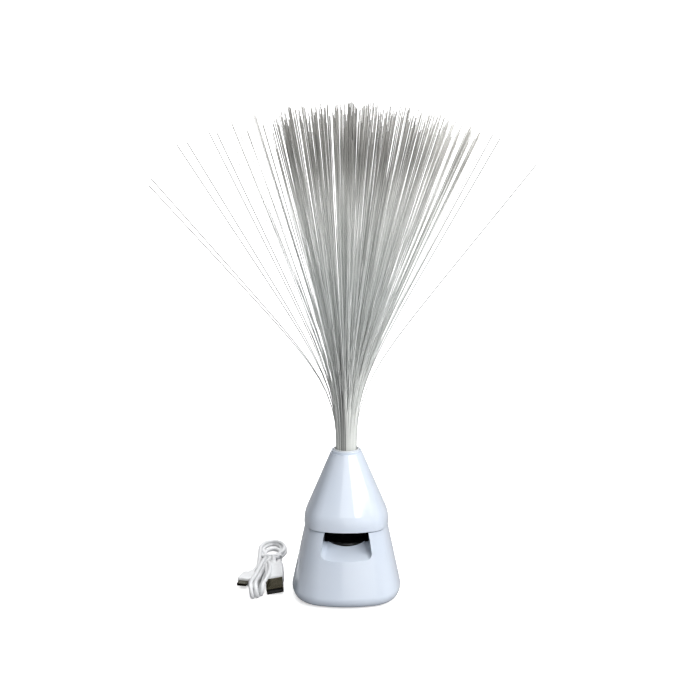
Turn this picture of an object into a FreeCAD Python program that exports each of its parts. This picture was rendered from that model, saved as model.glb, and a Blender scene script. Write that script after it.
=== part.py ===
import FreeCAD, Part
import math
import os
import re
import Sketcher

# A fibre optic lamp: a two-part moulded housing with four sound scoops round an upward-facing
# speaker, a socket on top that holds a spray of clear fibres, and a charging lead beside it.
# Millimetres, +Z up, origin at the centre of the base on the floor, front towards -Y.

SIZES = {
    # Housing heights above the floor
    "ring_top": 106.0,
    "shoulder_top": 104.0,
    "skirt_top": 59.6,
    "rim_bottom": 53.6,
    "seam_gap": 0.8,
    "housing_bottom": 0.8,
    # Housing outlines: half width across the flats, bow of the sides, corner rounding
    "shoulder_half": 11.2,
    "shoulder_bow": 11.8,
    "shoulder_corner": 10.0,
    "rim_half": 30.0,
    "rim_bow": 50.0,
    "rim_corner": 14.0,
    "neck_half": 29.2,
    "neck_bow": 50.4,
    "neck_corner": 14.1,
    "base_half": 40.3,
    "base_bow": 74.0,
    "base_corner": 26.0,
    "base_edge_radius": 6.4,
    "skirt_blend": 24.0,
    "wall": 2.2,
    # Scoops: ramps that rise to the speaker, and the side walls
    "ramp_height": 40.0,
    "ramp_slope": 0.4,
    "scoop_half_top": 15.2,
    "scoop_flare": 0.176,
    "scoop_draft": 0.08,
    "scoop_corner": 3.5,
    "scoop_start": 42.0,
    "scoop_end": 8.0,
    "recess_radius": 17.5,
    "deck_floor": 38.3,
    "deck_thickness": 2.2,
    "deck_bore": 14.4,
    # Bottom cover and the ledge it is screwed to
    "cover_half": 29.6,
    "cover_bow": 50.0,
    "cover_corner": 14.0,
    "cover_gap": 0.25,
    "cover_bottom": 1.0,
    "cover_top": 3.4,
    "ledge_half": 28.0,
    "ledge_corner": 13.0,
    "ledge_top": 6.4,
    "cavity_floor": 10.0,
    "cover_screw_place": 25.6,
    "cover_boss_radius": 2.6,
    "cover_boss_top": 9.6,
    "cover_screw_radius": 1.2,
    "cover_head_radius": 2.2,
    "cover_screw_length": 5.6,
    "foot_place": 17.0,
    "foot_radius": 3.6,
    "foot_height": 2.0,
    "foot_gap": 0.15,
    # Upper housing: socket for the bundle, floor plate, screws
    "ring_radius": 10.5,
    "ring_rounding": 0.5,
    "socket_bore": 9.4,
    "socket_ledge": 92.0,
    "light_bore": 7.4,
    "tube_radius": 11.2,
    "tube_bottom": 84.0,
    "upper_cavity_top": 96.0,
    "floor_gap": 0.3,
    "floor_thickness": 2.0,
    "housing_screw_place": 19.8,
    "housing_screw_radius": 1.4,
    "housing_head_radius": 2.6,
    "housing_head_height": 2.0,
    "housing_head_seat": 37.4,
    "housing_screw_top": 61.5,
    "boss_radius": 2.4,
    "boss_top": 63.0,
    "screw_gap": 0.05,
    "head_gap": 0.4,
    # Fibre bundle
    "ferrule_gap": 0.1,
    "ferrule_bore": 8.3,
    "ferrule_top": 106.7,
    "ferrule_rounding": 0.35,
    "ferrule_lip": 1.0,
    "potting_gap": 0.05,
    "potting_height": 5.0,
    "strand_radius": 0.375,
    "ring_step": 1.45,
    "strand_exposed": 236.0,
    # Light
    "cap_wall": 1.8,
    "cap_gap": 0.1,
    "cap_overlap": 6.0,
    "cap_floor": 2.4,
    "led_board_thickness": 1.6,
    "led_side": 5.0,
    "led_height": 1.6,
    # Speaker
    "gasket_thickness": 0.5,
    "flange_radius": 17.2,
    "flange_thickness": 1.2,
    "basket_wall": 0.8,
    "basket_bottom_radius": 10.0,
    "basket_depth": 10.0,
    "top_plate_radius": 10.6,
    "top_plate_bore": 5.0,
    "top_plate_thickness": 1.5,
    "magnet_radius": 11.0,
    "magnet_bore": 6.0,
    "magnet_thickness": 4.0,
    "yoke_thickness": 1.7,
    "pole_radius": 4.0,
    "coil_inside": 4.2,
    "coil_outside": 4.5,
    "coil_length": 8.4,
    "cone_depth": 5.4,
    "cone_radius": 13.0,
    "cone_thickness": 0.5,
    "roll_radius": 1.4,
    "roll_thickness": 0.4,
    "roll_foot": 1.2,
    "dust_cap_radius": 5.5,
    "dust_cap_rise": 2.0,
    # Electronics in the base
    "board_half": 17.4,
    "board_front": 18.0,
    "board_rear": 20.0,
    "board_under": 13.0,
    "board_thickness": 1.6,
    "post_x": 14.5,
    "post_front": 14.5,
    "post_rear": 16.5,
    "post_radius": 2.4,
    "board_screw_radius": 0.9,
    "board_head_radius": 1.8,
    "board_head_height": 1.2,
    "board_screw_length": 6.0,
    "battery_half": 11.6,
    "battery_front": 21.0,
    "battery_rear": 21.0,
    "battery_thickness": 6.5,
    "battery_rounding": 1.2,
    # Controls at the rear
    "control_height": 18.0,
    "panel_front": 25.4,
    "panel_thickness": 1.4,
    "panel_half": 22.0,
    "panel_rise": 6.0,
    "panel_boss_x": 19.0,
    "panel_boss_radius": 2.3,
    "button_x": 11.0,
    "button_radius": 3.5,
    "button_gap": 0.1,
    "button_front": 36.8,
    "button_flange_radius": 4.4,
    "button_flange_rear": 31.2,
    "button_flange_thickness": 0.8,
    "button_tail": 30.5,
    "button_dish": 0.4,
    "switch_side": 6.0,
    "switch_depth": 2.0,
    "plunger_radius": 1.6,
    "plunger_end": 29.8,
    "socket_width": 7.6,
    "socket_height": 2.8,
    "socket_mouth": 34.6,
    "socket_wall": 0.35,
    "window_gap": 0.5,
    # Charging lead
    "cord_diameter": 3.0,
    "hank_height": 6.6,
    "hank_rounding": 1.8,
    "tie_y": 58.0,
    "tie_x": 56.1,
    "tie_width": 3.0,
    "tie_thickness": 0.8,
    "tie_half": 6.1,
    "tie_gap": 0.15,
    "usb_width": 12.0,
    "usb_height": 4.5,
    "usb_length": 12.5,
    "usb_wall": 0.35,
    "usb_grip_width": 13.6,
    "usb_grip_height": 7.0,
    "usb_grip_length": 19.0,
    "micro_width": 6.9,
    "micro_height": 1.9,
    "micro_length": 6.0,
    "micro_wall": 0.25,
    "micro_grip_width": 10.4,
    "micro_grip_height": 6.4,
    "micro_grip_length": 15.0,
}

doc = FreeCAD.newDocument("FibreOpticLamp")
sheet = doc.addObject("Spreadsheet::Sheet", "Sizes")
for row, (alias, number) in enumerate(SIZES.items(), 1):
    sheet.set(f"A{row}", alias.replace("_", " "))
    sheet.set(f"B{row}", str(number))
    sheet.setAlias(f"B{row}", alias)
doc.recompute()

parts = []


def bound(formula):
    """The formula with each size's name pointing at its cell."""
    named = re.sub(
        r"[a-z][a-z_]+", lambda word: f"Sizes.{word[0]}" if word[0] in SIZES else word[0], formula
    )
    return named


def value(formula):
    return float(sheet.evalExpression(formula))


# ---------------------------------------------------------------- sketches and features


def new_body(name):
    body = doc.addObject("PartDesign::Body", name)
    body.Label = name
    parts.append(body)
    return body


def origin_item(body, role):
    return next(item for item in body.Origin.OriginFeatures if item.Role == role)


def new_sketch(body, name, plane="XY_Plane", offset="0"):
    """A sketch on one of the body's planes; on XZ_Plane a positive offset goes towards the front."""
    sketch = body.newObject("Sketcher::SketchObject", name)
    sketch.AttachmentSupport = (origin_item(body, plane), "")
    sketch.MapMode = "FlatFace"
    sketch.setExpression("AttachmentOffset.Base.z", bound(offset))
    return sketch


def fix(sketch, kind, places, formula):
    """A dimension of the sketch, bound to its formula."""
    number = sketch.addConstraint(Sketcher.Constraint(kind, *places, value(formula)))
    sketch.setExpression(f"Constraints[{number}]", bound(formula))


def pin_point(sketch, item, end, x, y):
    """Holds a point of the sketch at x, y from its origin."""
    if x == "0":
        sketch.addConstraint(Sketcher.Constraint("PointOnObject", item, end, -2))
    else:
        fix(sketch, "DistanceX", (-1, 1, item, end), x)
    if y == "0":
        sketch.addConstraint(Sketcher.Constraint("PointOnObject", item, end, -1))
    else:
        fix(sketch, "DistanceY", (-1, 1, item, end), y)


def add_outline(sketch, corners):
    """A closed outline. Each corner is (x, y), or (x, y, radius, bulge) where an arc leads to the
    next corner; bulge is 1 or -1, the side of the chord that the arc lies on. A fifth item is the
    height of the arc's centre, which then fixes it instead of the radius."""
    spots = [FreeCAD.Vector(value(c[0]), value(c[1]), 0) for c in corners]
    first = sketch.GeometryCount
    count = len(corners)
    for i, corner in enumerate(corners):
        start, end = spots[i], spots[(i + 1) % count]
        if len(corner) == 2:
            sketch.addGeometry(Part.LineSegment(start, end), False)
            continue
        radius, side = value(corner[2]), corner[3]
        chord = end - start
        normal = FreeCAD.Vector(-chord.y, chord.x, 0).normalize() * side
        sagitta = radius - math.sqrt(max(radius**2 - chord.Length**2 / 4, 0))
        sketch.addGeometry(Part.Arc(start, (start + end) / 2 + normal * sagitta, end), False)
    for i, corner in enumerate(corners):
        item, after = first + i, first + (i + 1) % count
        item_end = end_near(sketch, item, spots[(i + 1) % count])
        after_start = end_near(sketch, after, spots[(i + 1) % count])
        sketch.addConstraint(Sketcher.Constraint("Coincident", item, item_end, after, after_start))
        pin_point(sketch, item, end_near(sketch, item, spots[i]), corner[0], corner[1])
        if len(corner) == 4:
            fix(sketch, "Radius", (item,), corner[2])
        if len(corner) == 5:
            fix(sketch, "DistanceY", (-1, 1, item, 3), corner[4])


def end_near(sketch, item, spot):
    return 1 if sketch.getPoint(item, 1).distanceToPoint(spot) < 1e-6 else 2


def add_circle(sketch, x, y, radius):
    centre = FreeCAD.Vector(value(x), value(y), 0)
    up = FreeCAD.Vector(0, 0, 1)
    item = sketch.addGeometry(Part.Circle(centre, up, value(radius)), False)
    pin_point(sketch, item, 3, x, y)
    fix(sketch, "Radius", (item,), radius)


def add_rectangle(sketch, left, right, low, high):
    add_outline(sketch, [(left, low), (right, low), (right, high), (left, high)])


def add_bowed_square(sketch, half, bow, corner):
    """A square with bowed sides and rounded corners: four arcs of radius bow, whose middles are
    half away from the centre, and four tangent corner arcs."""
    across, bow_radius, corner_radius = value(half), value(bow), value(corner)
    reach = across - bow_radius
    gap = bow_radius - corner_radius
    centre = (reach + math.sqrt(2 * gap**2 - reach**2)) / 2
    turn = math.atan2(centre, centre - reach)
    up = FreeCAD.Vector(0, 0, 1)
    for quarter in range(4):
        angle = quarter * math.pi / 2
        along = FreeCAD.Vector(math.cos(angle), math.sin(angle), 0)
        aside = FreeCAD.Vector(-along.y, along.x, 0)
        side = Part.Circle(along * reach, up, bow_radius)
        sketch.addGeometry(Part.ArcOfCircle(side, angle - turn, angle + turn), False)
        round_corner = Part.Circle((along + aside) * centre, up, corner_radius)
        quarter_end = angle + math.pi / 2 - turn
        sketch.addGeometry(Part.ArcOfCircle(round_corner, angle + turn, quarter_end), False)
    for item in range(8):
        after = (item + 1) % 8
        sketch.addConstraint(Sketcher.Constraint("Tangent", item, 2, after, 1))
    for item in (2, 4, 6):
        sketch.addConstraint(Sketcher.Constraint("Equal", 0, item))
        sketch.addConstraint(Sketcher.Constraint("Equal", 1, item + 1))
    fix(sketch, "Radius", (0,), bow)
    fix(sketch, "Radius", (1,), corner)
    for item, kind, axis, sign in (
        (0, "DistanceX", -1, "-"),
        (2, "DistanceY", -2, "-"),
        (4, "DistanceX", -1, ""),
        (6, "DistanceY", -2, ""),
    ):
        sketch.addConstraint(Sketcher.Constraint("PointOnObject", item, 3, axis))
        fix(sketch, kind, (-1, 1, item, 3), f"{sign}(({bow}) - ({half}))")


def add_feature(body, kind, name, **settings):
    feature = body.newObject(f"PartDesign::{kind}", name)
    for setting, what in settings.items():
        setattr(feature, setting, what)
    return feature


def pad(body, sketch, name, length, reverse=False):
    feature = add_feature(body, "Pad", name, Profile=sketch, Reversed=reverse)
    feature.setExpression("Length", bound(length))
    return feature


def pocket(body, sketch, name, length, reverse=False):
    feature = add_feature(body, "Pocket", name, Profile=sketch, Reversed=reverse)
    feature.setExpression("Length", bound(length))
    return feature


def loft(body, name, sections, cut=False, ruled=True):
    """A loft whose sections are given against their sketches' normal: from the top down, or from
    the front to the back, so that its faces point outwards."""
    kind = "SubtractiveLoft" if cut else "AdditiveLoft"
    return add_feature(
        body, kind, name, Profile=sections[0], Sections=sections[1:], Ruled=ruled, Closed=False
    )


def repeat(body, feature, name, count):
    """Repeats a feature round the vertical axis."""
    pattern = body.newObject("PartDesign::PolarPattern", name)
    pattern.Originals = [feature]
    pattern.Axis = (origin_item(body, "Z_Axis"), [""])
    pattern.Angle = 360
    pattern.Occurrences = count
    body.Tip = pattern
    return pattern


def round_edges(body, name, radius, wanted):
    """Fillets the edges of the body's last feature that the test picks."""
    doc.recompute()
    base = body.Tip
    edges = [f"Edge{i}" for i, edge in enumerate(base.Shape.Edges, 1) if wanted(edge)]
    feature = body.newObject("PartDesign::Fillet", name)
    feature.Base = (base, edges)
    feature.setExpression("Radius", bound(radius))
    return feature


def lies_at_height(height):
    level = value(height)
    return lambda edge: all(abs(vertex.Z - level) < 1e-4 for vertex in edge.Vertexes)


def turned(name, corners, plane="XZ_Plane"):
    """A piece turned about the vertical axis, or about Y where its profile lies in XY_Plane."""
    body = new_body(name)
    sketch = new_sketch(body, f"{name}_profile", plane)
    add_outline(sketch, corners)
    add_feature(body, "Revolution", f"{name}_turned", Profile=sketch,
                ReferenceAxis=(sketch, ["V_Axis"]), Angle=360)
    return body


def place(body, x="0", y="0", z="0"):
    for axis, formula in zip("xyz", (x, y, z)):
        body.setExpression(f"Placement.Base.{axis}", bound(formula))


def group(name, solids):
    """Identical or like pieces that share one node, each a solid of its own."""
    feature = doc.addObject("Part::Feature", name)
    feature.Label = name
    feature.Shape = Part.makeCompound(solids)
    parts.append(feature)
    return feature


def corners_of(distance):
    reach = value(distance)
    return [FreeCAD.Vector(x, y, 0) for x in (-reach, reach) for y in (-reach, reach)]


# The places of the cover screws, on the middles of the four sides
MIDDLES = [("cover_screw_place", "0"), ("0", "cover_screw_place"), ("-cover_screw_place", "0"),
           ("0", "-cover_screw_place")]


# ---------------------------------------------------------------- housing


def upper_taper(height):
    """The upper housing's half width at a height on its straight taper."""
    return (f"shoulder_half + (rim_half - shoulder_half) * (shoulder_top - ({height}))"
            " / (shoulder_top - skirt_top)")


def lower_taper(height):
    """The lower housing's half width at a height."""
    return (f"base_half + (neck_half - base_half) * (({height}) - housing_bottom)"
            " / (rim_bottom - seam_gap - housing_bottom)")


def make_upper_housing():
    body = new_body("upper_housing")
    outside = []
    for name, height, half, bow, corner in (
        ("shoulder", "shoulder_top", "shoulder_half", "shoulder_bow", "shoulder_corner"),
        ("skirt", "skirt_top", "rim_half", "rim_bow", "rim_corner"),
        ("rim", "rim_bottom", "rim_half", "rim_bow", "rim_corner"),
    ):
        sketch = new_sketch(body, f"upper_{name}", offset=height)
        add_bowed_square(sketch, half, bow, corner)
        outside.append(sketch)
    loft(body, "upper_outside", outside)
    round_edges(body, "skirt_blend", "skirt_blend", lies_at_height("skirt_top"))
    inside = []
    cavity_half = upper_taper("upper_cavity_top") + " - 1.1 * wall"
    for name, height, half, bow, corner in (
        ("roof", "upper_cavity_top", cavity_half, f"1.06 * ({cavity_half})",
         f"0.85 * ({cavity_half})"),
        ("bend", "skirt_top - wall / 2", "rim_half - wall", "rim_bow - wall", "rim_corner - wall"),
        ("entry", "rim_bottom - 1", "rim_half - wall", "rim_bow - wall", "rim_corner - wall"),
    ):
        sketch = new_sketch(body, f"upper_cavity_{name}", offset=height)
        add_bowed_square(sketch, half, bow, corner)
        inside.append(sketch)
    loft(body, "upper_cavity", inside, cut=True)
    tube = new_sketch(body, "socket_tube_outline", offset="tube_bottom")
    add_circle(tube, "0", "0", "tube_radius")
    pad(body, tube, "socket_tube", "upper_cavity_top - tube_bottom + wall / 2")
    ring = new_sketch(body, "ring_outline", offset="shoulder_top - wall")
    add_circle(ring, "0", "0", "ring_radius")
    pad(body, ring, "ring", "ring_top - shoulder_top + wall")
    for corner in (-1, 1):
        for side in (-1, 1):
            name = f"boss_{corner + 1}_{side + 1}"
            outline = new_sketch(body, f"{name}_outline",
                                 offset="rim_bottom - seam_gap + floor_thickness")
            add_circle(outline, f"{corner} * housing_screw_place",
                       f"{side} * housing_screw_place", "boss_radius")
            pad(body, outline, name, "boss_top - rim_bottom + seam_gap - floor_thickness")
    socket = new_sketch(body, "socket_outline", offset="socket_ledge")
    add_circle(socket, "0", "0", "socket_bore")
    pocket(body, socket, "socket", "ring_top - socket_ledge + 1", reverse=True)
    light = new_sketch(body, "light_outline", offset="tube_bottom")
    add_circle(light, "0", "0", "light_bore")
    pocket(body, light, "light_way", "socket_ledge - tube_bottom + 1", reverse=True)
    holes = new_sketch(body, "boss_holes_outline", offset="rim_bottom")
    for x in (-1, 1):
        for y in (-1, 1):
            add_circle(holes, f"{x} * housing_screw_place", f"{y} * housing_screw_place",
                       "housing_screw_radius + screw_gap")
    pocket(body, holes, "boss_holes", "housing_screw_top - rim_bottom + screw_gap", reverse=True)
    round_edges(body, "ring_rounding", "ring_rounding", lies_at_height("ring_top"))
    return body


def make_lower_housing():
    body = new_body("lower_housing")
    top = "rim_bottom - seam_gap"
    base = new_sketch(body, "base_outline", offset="housing_bottom")
    add_bowed_square(base, "base_half", "base_bow", "base_corner")
    neck = new_sketch(body, "neck_outline", offset=top)
    add_bowed_square(neck, "neck_half", "neck_bow", "neck_corner")
    loft(body, "lower_outside", [neck, base])
    round_edges(body, "base_edge", "base_edge_radius", lies_at_height("housing_bottom"))
    rebate = []
    for name, height in (("cover_seat", "cover_top"), ("cover_entry", "0")):
        sketch = new_sketch(body, name, offset=height)
        add_bowed_square(sketch, "cover_half", "cover_bow", "cover_corner")
        rebate.append(sketch)
    loft(body, "cover_rebate", rebate, cut=True)
    roof_half = "(base_half - wall - 5.6)"
    roof_edge = f"deck_floor - deck_thickness - ramp_slope * ({roof_half} - recess_radius)"
    cavity = []
    for name, height, half, bow, corner in (
        ("cavity_roof", "deck_floor - deck_thickness", "recess_radius", "1.4 * recess_radius",
         "0.5 * recess_radius"),
        ("cavity_roof_edge", roof_edge, roof_half, "neck_bow", "neck_corner - wall"),
        ("cavity_widest", "cavity_floor", lower_taper("cavity_floor") + " - wall",
         "base_bow - wall", "base_corner - wall"),
        ("ledge_over", "ledge_top", "ledge_half", "cover_bow", "ledge_corner"),
        ("ledge_under", "cover_top - 1", "ledge_half", "cover_bow", "ledge_corner"),
    ):
        sketch = new_sketch(body, name, offset=height)
        add_bowed_square(sketch, half, bow, corner)
        cavity.append(sketch)
    loft(body, "base_cavity", cavity, cut=True)
    scoop = loft(body, "scoop", [scoop_outline(body, "scoop_outer", "scoop_start"),
                                 scoop_outline(body, "scoop_inner", "scoop_end")], cut=True)
    repeat(body, scoop, "scoops", 4)
    recess = new_sketch(body, "recess_outline", offset="deck_floor")
    add_circle(recess, "0", "0", "recess_radius")
    pocket(body, recess, "speaker_recess", "rim_bottom - deck_floor", reverse=True)
    bore = new_sketch(body, "deck_bore_outline", offset="deck_floor - 2 * deck_thickness")
    add_circle(bore, "0", "0", "deck_bore")
    pocket(body, bore, "deck_hole", "3 * deck_thickness", reverse=True)
    cut_screw_holes(body)
    cut_rear_controls(body)
    return body


def scoop_outline(body, name, distance):
    """The scoop's section at a distance from the centre: a trapezium wider at the bottom, with
    rounded lower corners, whose bottom follows the ramp."""
    sketch = new_sketch(body, name, plane="XZ_Plane", offset=distance)
    top = "rim_bottom + 2"
    bottom = f"ramp_height - ramp_slope * ({distance} - recess_radius)"
    top_half = f"scoop_half_top + scoop_draft * ({distance} - neck_half)"
    low_half = f"({top_half} + scoop_flare * (rim_bottom - ({bottom})))"
    rise = "scoop_corner"
    add_outline(sketch, [
        (f"-({top_half})", top),
        (f"-{low_half} + scoop_flare * {rise}", f"{bottom} + {rise}", f"1.02 * {rise}", -1),
        (f"-{low_half} + {rise}", bottom),
        (f"{low_half} - {rise}", bottom, f"1.02 * {rise}", -1),
        (f"{low_half} - scoop_flare * {rise}", f"{bottom} + {rise}"),
        (top_half, top),
    ])
    return sketch


def cut_screw_holes(body):
    """Holes up through the corner pillars for the housing screws, with seats for their heads, and
    bosses with blind holes for the cover screws."""
    shanks = new_sketch(body, "pillar_holes_outline", offset="cavity_floor")
    heads = new_sketch(body, "head_seats_outline", offset="cavity_floor")
    bosses = new_sketch(body, "cover_bosses_outline", offset="cover_top")
    covers = new_sketch(body, "cover_pilots_outline", offset="cover_top - 1")
    for x in (-1, 1):
        for y in (-1, 1):
            spot = (f"{x} * housing_screw_place", f"{y} * housing_screw_place")
            add_circle(shanks, *spot, "housing_screw_radius + 4 * screw_gap")
            add_circle(heads, *spot, "housing_head_radius + head_gap")
    for x, y in MIDDLES:
        add_circle(bosses, x, y, "cover_boss_radius")
        add_circle(covers, x, y, "cover_screw_radius + screw_gap")
    pocket(body, shanks, "pillar_holes", "rim_bottom - cavity_floor", reverse=True)
    pocket(body, heads, "head_seats", "housing_head_seat - cavity_floor", reverse=True)
    pad(body, bosses, "cover_bosses", "cover_boss_top - cover_top")
    pocket(body, covers, "cover_pilots", "cover_screw_length", reverse=True)


def cut_rear_controls(body):
    """Two button holes and the charging window through the rear wall, and the two bosses that
    carry the control board."""
    bosses = new_sketch(body, "panel_bosses_outline", plane="XZ_Plane",
                        offset="-(panel_front + panel_thickness)")
    for x in (-1, 1):
        add_circle(bosses, f"{x} * panel_boss_x", "control_height", "panel_boss_radius")
    reach = lower_taper("control_height")
    pad(body, bosses, "panel_bosses", f"{reach} - 2 * wall - panel_front - panel_thickness",
        reverse=True)
    pilots = new_sketch(body, "panel_pilots_outline", plane="XZ_Plane", offset="-panel_front")
    for x in (-1, 1):
        add_circle(pilots, f"{x} * panel_boss_x", "control_height",
                   "board_screw_radius + screw_gap")
    pocket(body, pilots, "panel_pilots", "board_screw_length + screw_gap")
    holes = new_sketch(body, "button_holes_outline", plane="XZ_Plane", offset="-panel_front")
    for x in (-1, 1):
        add_circle(holes, f"{x} * button_x", "control_height", "button_radius + button_gap")
    pocket(body, holes, "button_holes", "base_half - panel_front")
    window = new_sketch(body, "window_outline", plane="XZ_Plane", offset="-panel_front")
    add_rectangle(window, "-(socket_width / 2 + window_gap)", "socket_width / 2 + window_gap",
                  "control_height - socket_height / 2 - window_gap",
                  "control_height + socket_height / 2 + window_gap")
    pocket(body, window, "charging_window", "base_half - panel_front")


def make_upper_floor():
    body = new_body("upper_floor")
    outline = new_sketch(body, "floor_outline", offset="rim_bottom - seam_gap")
    inset = "(wall + floor_gap)"
    add_bowed_square(outline, f"rim_half - {inset}", f"rim_bow - {inset}",
                     f"rim_corner - {inset}")
    pad(body, outline, "floor_plate", "floor_thickness")
    holes = new_sketch(body, "floor_holes_outline", offset="rim_bottom - seam_gap - 1")
    for x in (-1, 1):
        for y in (-1, 1):
            add_circle(holes, f"{x} * housing_screw_place", f"{y} * housing_screw_place",
                       "housing_screw_radius + 4 * screw_gap")
    pocket(body, holes, "floor_holes", "floor_thickness + 2", reverse=True)


def make_bottom_cover():
    body = new_body("bottom_cover")
    outline = new_sketch(body, "cover_outline", offset="cover_bottom")
    add_bowed_square(outline, "cover_half - cover_gap", "cover_bow - cover_gap",
                     "cover_corner - cover_gap")
    pad(body, outline, "cover_plate", "cover_top - cover_bottom")
    posts = new_sketch(body, "posts_outline", offset="cover_top - 1")
    pilots = new_sketch(body, "post_pilots_outline",
                        offset="board_under + board_thickness - board_screw_length - screw_gap")
    for x, y in (("-post_x", "-post_front"), ("post_x", "-post_front"),
                 ("-post_x", "post_rear"), ("post_x", "post_rear")):
        add_circle(posts, x, y, "post_radius")
        add_circle(pilots, x, y, "board_screw_radius + screw_gap")
    pad(body, posts, "board_posts", "board_under - cover_top + 1")
    pocket(body, pilots, "post_pilots", "board_screw_length + 1", reverse=True)
    feet = new_sketch(body, "foot_recess_outline", offset="0")
    holes = new_sketch(body, "cover_holes_outline", offset="0")
    heads = new_sketch(body, "cover_heads_outline", offset="0")
    for x in (-1, 1):
        for y in (-1, 1):
            add_circle(feet, f"{x} * foot_place", f"{y} * foot_place", "foot_radius + foot_gap")
    for x, y in MIDDLES:
        add_circle(holes, x, y, "cover_screw_radius + 3 * screw_gap")
        add_circle(heads, x, y, "cover_head_radius + 3 * screw_gap")
    pocket(body, feet, "foot_recesses", "foot_height", reverse=True)
    pocket(body, holes, "cover_holes", "cover_top + 1", reverse=True)
    pocket(body, heads, "cover_heads", "cover_bottom + (cover_top - cover_bottom) / 2",
           reverse=True)


# ---------------------------------------------------------------- fasteners and feet


def turned_solid(points):
    """A solid turned about the vertical axis from (radius, height) points."""
    spots = [FreeCAD.Vector(radius, 0, height) for radius, height in points]
    face = Part.Face(Part.makePolygon([*spots, spots[0]]))
    return face.revolve(FreeCAD.Vector(0, 0, 0), FreeCAD.Vector(0, 0, 1), 360)


def screw_solid(shank, head, head_height, length):
    """A pan head screw, head down, with its head's seat at height zero and a tapered end."""
    return turned_solid([
        (0, -head_height),
        (0.75 * head, -head_height),
        (head, -0.6 * head_height),
        (head, 0),
        (shank, 0),
        (shank, length - shank),
        (0.3 * shank, length),
        (0, length),
    ])


def make_fasteners():
    long_screw = screw_solid(value("housing_screw_radius"), value("housing_head_radius"),
                             value("housing_head_height"),
                             value("housing_screw_top - housing_head_seat"))
    seat = FreeCAD.Vector(0, 0, value("housing_head_seat"))
    group("housing_screws",
          [long_screw.translated(spot + seat) for spot in corners_of("housing_screw_place")])
    cover_screw = screw_solid(value("cover_screw_radius"), value("cover_head_radius"),
                              value("(cover_top - cover_bottom) / 2"),
                              value("cover_screw_length"))
    seat = FreeCAD.Vector(0, 0, value("cover_bottom + (cover_top - cover_bottom) / 2"))
    group("cover_screws",
          [cover_screw.translated(FreeCAD.Vector(value(x), value(y), 0) + seat)
           for x, y in MIDDLES])
    foot = Part.makeCylinder(value("foot_radius"), value("foot_height"))
    foot = foot.makeChamfer(0.4, [edge for edge in foot.Edges if edge.BoundBox.ZMax < 0.1])
    group("rubber_feet", [foot.translated(spot) for spot in corners_of("foot_place")])


def make_board_screws():
    screw = screw_solid(value("board_screw_radius"), value("board_head_radius"),
                        value("board_head_height"), value("board_screw_length"))
    downward = screw.rotated(FreeCAD.Vector(0, 0, 0), FreeCAD.Vector(1, 0, 0), 180)
    rearward = screw.rotated(FreeCAD.Vector(0, 0, 0), FreeCAD.Vector(1, 0, 0), -90)
    top = value("board_under + board_thickness")
    post_x = value("post_x")
    solids = [downward.translated(FreeCAD.Vector(x, y, top))
              for x in (-post_x, post_x) for y in (-value("post_front"), value("post_rear"))]
    panel = FreeCAD.Vector(value("panel_boss_x"), value("panel_front"), value("control_height"))
    for side in (-1, 1):
        solids.append(rearward.translated(FreeCAD.Vector(side * panel.x, panel.y, panel.z)))
    group("board_screws", solids)


# ---------------------------------------------------------------- fibres and light


def make_ferrule():
    low, top = "socket_ledge", "ferrule_top"
    outside = "socket_bore - ferrule_gap"
    turned("bundle_ferrule", [
        ("light_bore", low),
        (outside, low),
        (outside, f"{top} - ferrule_rounding", "ferrule_rounding", -1),
        (f"{outside} - ferrule_rounding", top),
        ("ferrule_bore", top),
        ("ferrule_bore", f"{low} + ferrule_lip"),
        ("light_bore", f"{low} + ferrule_lip"),
    ])
    bottom = "socket_ledge + ferrule_lip"
    turned("fibre_potting", [
        ("0", bottom),
        ("ferrule_bore - potting_gap", bottom),
        ("ferrule_bore - potting_gap", f"{bottom} + potting_height"),
        ("0", f"{bottom} + potting_height"),
    ])


STRAND_SIDES = 6
LAST_RING = 5
# The lean of the outermost fibres at their tips, in degrees, and of the few that stray further:
# place in the last ring, lean and share of the full length
OUTER_LEAN = 28.4
STRAYS = {14: (44.1, 0.943), 15: (41.6, 0.962), 29: (40.1, 0.987), 5: (34.0, 1.0),
          20: (34.0, 1.0), 11: (32.0, 0.99), 26: (32.0, 0.99)}


def strand_solid(place_radius, direction, lean, length):
    """One clear fibre: straight up through the ferrule, then leaning outwards more and more under
    its own weight. lean is the angle from the vertical at its tip, in degrees."""
    start = value("socket_ledge + ferrule_lip")
    radius, height = place_radius, value("ferrule_top") + 2.0
    stations = [(radius, start, 0.0), (radius, height, 0.15 * lean)]
    for share, turn in ((0.24, 0.55), (0.32, 0.8), (0.44, 1.0)):
        angle = math.radians(lean * turn)
        radius += share * length * math.sin(angle)
        height += share * length * math.cos(angle)
        stations.append((radius, height, lean * turn))
    out = FreeCAD.Vector(math.cos(direction), math.sin(direction), 0)
    aside = FreeCAD.Vector(-out.y, out.x, 0)
    rings = []
    for radius, height, tilt in stations:
        centre = out * radius + FreeCAD.Vector(0, 0, height)
        across = FreeCAD.Rotation(aside, tilt).multVec(out)
        points = []
        for k in range(STRAND_SIDES + 1):
            turn = 2 * math.pi * k / STRAND_SIDES
            spoke = across * math.cos(turn) + aside * math.sin(turn)
            points.append(centre + spoke * value("strand_radius"))
        rings.append(Part.makePolygon(points))
    return Part.makeLoft(rings, True, True)


def strand_direction(ring, k):
    return 2 * math.pi * (k + 0.35 * (ring % 3)) / (6 * ring)


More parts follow.
